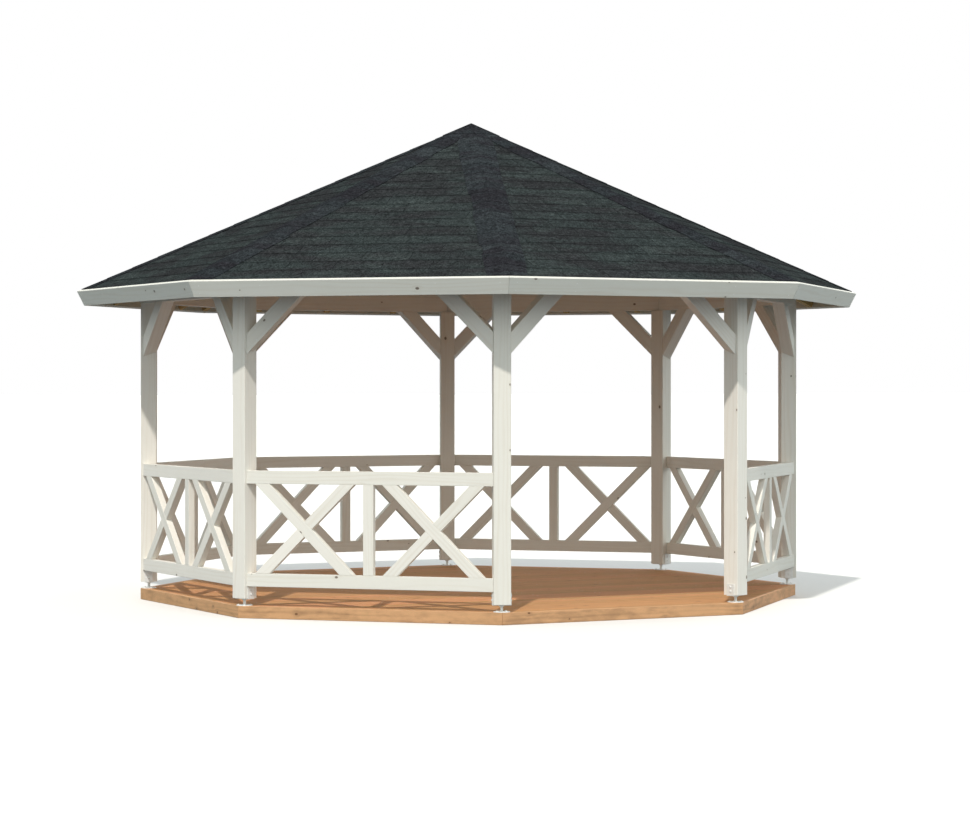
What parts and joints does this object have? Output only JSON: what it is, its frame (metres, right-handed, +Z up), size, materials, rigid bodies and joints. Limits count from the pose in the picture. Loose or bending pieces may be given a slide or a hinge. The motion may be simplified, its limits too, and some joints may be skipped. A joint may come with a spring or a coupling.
{
  "type": "garden gazebo",
  "caption": "Octagonal open timber garden gazebo: low deck, posts on steel feet, cross-braced railings, knee braces and a shingled pyramid roof with deep eaves and an open entrance.",
  "frame": {"origin": "centre of the octagonal deck, on the ground", "axes": "+Z up along the roof's axis; the open entrance side faces -Y; +X is to the right when facing the building from the entrance"},
  "size_m": [5.3042, 5.3042, 3.477],
  "materials": {
    "white_wood": "satin",
    "deck_wood": "matte",
    "roof_wood": "matte",
    "shingle": "matte",
    "galvanised_steel": "satin"
  },
  "bodies": {
    "root": {"floor_joists": "deck_wood", "floor_rim": "deck_wood", "floor_boards": "deck_wood", "post_feet": "galvanised_steel", "post_1": "white_wood", "post_2": "white_wood", "post_3": "white_wood", "post_4": "white_wood", "post_5": "white_wood", "post_6": "white_wood", "post_7": "white_wood", "post_8": "white_wood", "railing_1": "white_wood", "railing_2": "white_wood", "railing_3": "white_wood", "railing_4": "white_wood", "railing_5": "white_wood", "railing_6": "white_wood", "railing_7": "white_wood", "braces_0": "white_wood", "braces_1": "white_wood", "braces_2": "white_wood", "braces_3": "white_wood", "braces_4": "white_wood", "braces_5": "white_wood", "braces_6": "white_wood", "braces_7": "white_wood", "beam_0": "white_wood", "beam_1": "white_wood", "beam_2": "white_wood", "beam_3": "white_wood", "beam_4": "white_wood", "beam_5": "white_wood", "beam_6": "white_wood", "beam_7": "white_wood", "hip_rafters": "roof_wood", "common_rafters": "roof_wood", "king_block": "roof_wood", "roof_boards": "roof_wood", "shingles": "shingle", "hip_caps": "shingle", "apex_cap": "shingle", "fascia": "white_wood"}
  },
  "joints": []
}
